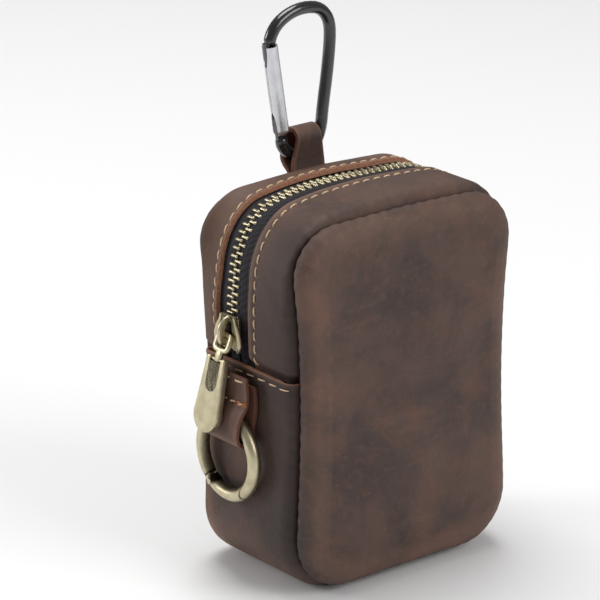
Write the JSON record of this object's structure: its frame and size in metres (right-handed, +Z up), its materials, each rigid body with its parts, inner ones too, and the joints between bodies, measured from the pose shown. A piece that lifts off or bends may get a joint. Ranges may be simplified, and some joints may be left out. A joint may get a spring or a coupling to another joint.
{
  "type": "belt bag",
  "caption": "Small upright leather belt bag with a curved zip over its top, a slotted zip puller, a spring gate ring on a side tab and a snap hook in a hang loop.",
  "frame": {"origin": "on the surface that the bag stands on, under the middle of the pouch", "axes": "+Z up, -Y out of the front panel, +X to the right of someone who faces the front"},
  "size_m": [0.0898, 0.0554, 0.1587],
  "materials": {
    "leather": "waxed, scuffed, dark brown",
    "strap_leather": "waxed, scuffed, brown",
    "zip_tape": "woven, near black",
    "antique_brass": "satin, pale, antiqued",
    "black_enamel": "gloss",
    "bright_steel": "bright, brushed"
  },
  "bodies": {
    "pouch": {"front_panel": "leather", "back_panel": "leather", "lower_gusset": "leather", "front_strip": "leather", "back_strip": "leather", "tape_front": "zip_tape", "tape_back": "zip_tape", "teeth_front": "antique_brass", "teeth_back": "antique_brass", "slider": "antique_brass", "side_tab": "strap_leather", "hang_loop": "strap_leather", "carabiner_body": "black_enamel", "carabiner_rivet": "bright_steel"},
    "link": {"pull_link": "antique_brass"},
    "tongue": {"pull_tongue": "antique_brass"},
    "ring": {"ring_body": "antique_brass", "ring_rivet": "antique_brass"},
    "ring_gate": {"ring_gate": "antique_brass"},
    "hook_gate": {"carabiner_gate": "bright_steel"}
  },
  "joints": [
    {"name": "link_swing", "type": "hinge", "parent": "pouch", "child": "link", "pos_m": [-0.0405, 0.0062, 0.07327], "axis": [0, 1, 0], "range_deg": [0, 120]},
    {"name": "tongue_swing", "type": "hinge", "parent": "link", "child": "tongue", "pos_m": [-0.04343, 0.0062, 0.06625], "axis": [0, 1, 0], "range_deg": [0, 50]},
    {"name": "ring_turn", "type": "hinge", "parent": "pouch", "child": "ring", "pos_m": [-0.0422, 0.0036, 0.0383], "axis": [1, 0, 0], "range_deg": [-80, 80]},
    {"name": "ring_gate_open", "type": "hinge", "parent": "ring", "child": "ring_gate", "pos_m": [-0.0422, 0.01028, 0.02839], "axis": [-1, 0, 0], "range_deg": [0, 28], "stiffness_Nm_per_rad": 0.01, "springref_deg": -17.19},
    {"name": "hook_gate_open", "type": "hinge", "parent": "pouch", "child": "hook_gate", "pos_m": [-0.0072, 0.0229, 0.1232], "axis": [0, 1, 0], "range_deg": [0, 25], "stiffness_Nm_per_rad": 0.02, "springref_deg": -17.19}
  ]
}
